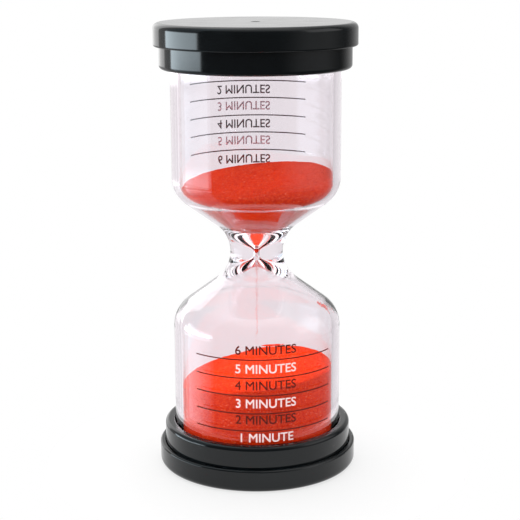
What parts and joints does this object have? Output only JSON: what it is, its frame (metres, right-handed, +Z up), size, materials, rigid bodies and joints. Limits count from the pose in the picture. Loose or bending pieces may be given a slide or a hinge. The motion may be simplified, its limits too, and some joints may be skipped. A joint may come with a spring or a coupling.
{
  "type": "hourglass",
  "caption": "Hourglass sand timer with clear bulbs joined at a thick waist, coloured sand inside and round stepped end caps.",
  "frame": {"origin": "centre of the flat underside of the bottom cap", "axes": "+Z up along the axis of the bulbs, -Y towards the side with the lower bulb's printed scale"},
  "size_m": [0.06, 0.06, 0.134],
  "materials": {
    "cap_plastic": "polished black moulded plastic",
    "plug_plastic": "plain moulded plastic",
    "seal_rubber": "soft grey rubber",
    "bulb_glass": "clear with a faint pink cast",
    "sand": "fine red-orange dyed grains",
    "print_dark": "thin dark screen print",
    "print_pale": "thin white screen print"
  },
  "bodies": {
    "root": {"top_cap": "cap_plastic", "top_seal": "seal_rubber", "top_plug": "plug_plastic", "top_collar": "cap_plastic", "upper_bulb": "bulb_glass", "upper_sand": "sand", "sand_stream": "sand", "lower_bulb": "bulb_glass", "lower_sand": "sand", "bottom_collar": "cap_plastic", "bottom_plug": "plug_plastic", "bottom_seal": "seal_rubber", "bottom_cap": "cap_plastic"}
  },
  "joints": []
}
